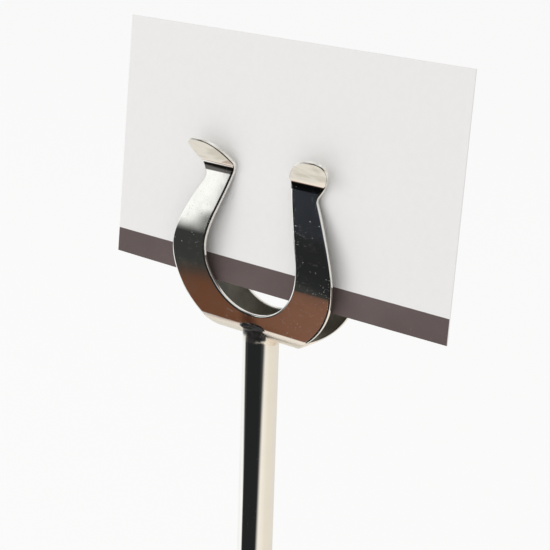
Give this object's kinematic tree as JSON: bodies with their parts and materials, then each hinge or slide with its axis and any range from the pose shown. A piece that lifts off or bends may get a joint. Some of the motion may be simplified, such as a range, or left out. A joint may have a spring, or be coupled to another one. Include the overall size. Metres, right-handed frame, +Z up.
{
  "type": "place card holder",
  "caption": "Place card stand: a sprung horseshoe clip on a slim polished stem grips a card that slides out upwards, on a round weighted base.",
  "frame": {"origin": "centre of the foot pad's underside, on the table", "axes": "+Z up along the stem, the card's front and the viewer's side of the clip face -Y, +X to the right seen from the front"},
  "size_m": [0.0892, 0.076, 0.2251],
  "materials": {
    "card_stock": "smooth uncoated card, with a plain dark band printed along its lower edge",
    "polished_steel": "mirror polished, slightly warm",
    "braze_metal": "polished filler, slightly uneven",
    "cast_weight": "as cast, painted",
    "plain_steel": "satin",
    "pad_rubber": "fine foam, matte"
  },
  "bodies": {
    "stand": {"spring_clip": "polished_steel", "clip_braze": "braze_metal", "stem": "polished_steel", "base_cover": "polished_steel", "base_weight": "cast_weight", "base_screw": "plain_steel", "lock_washer": "plain_steel", "foot_pad": "pad_rubber"},
    "card": {"card": "card_stock"}
  },
  "joints": [
    {"name": "card_lift", "type": "slide", "parent": "stand", "child": "card", "axis": [0.0052, 0.0663, 0.9978], "range_m": [-0.0025, 0.036]}
  ]
}
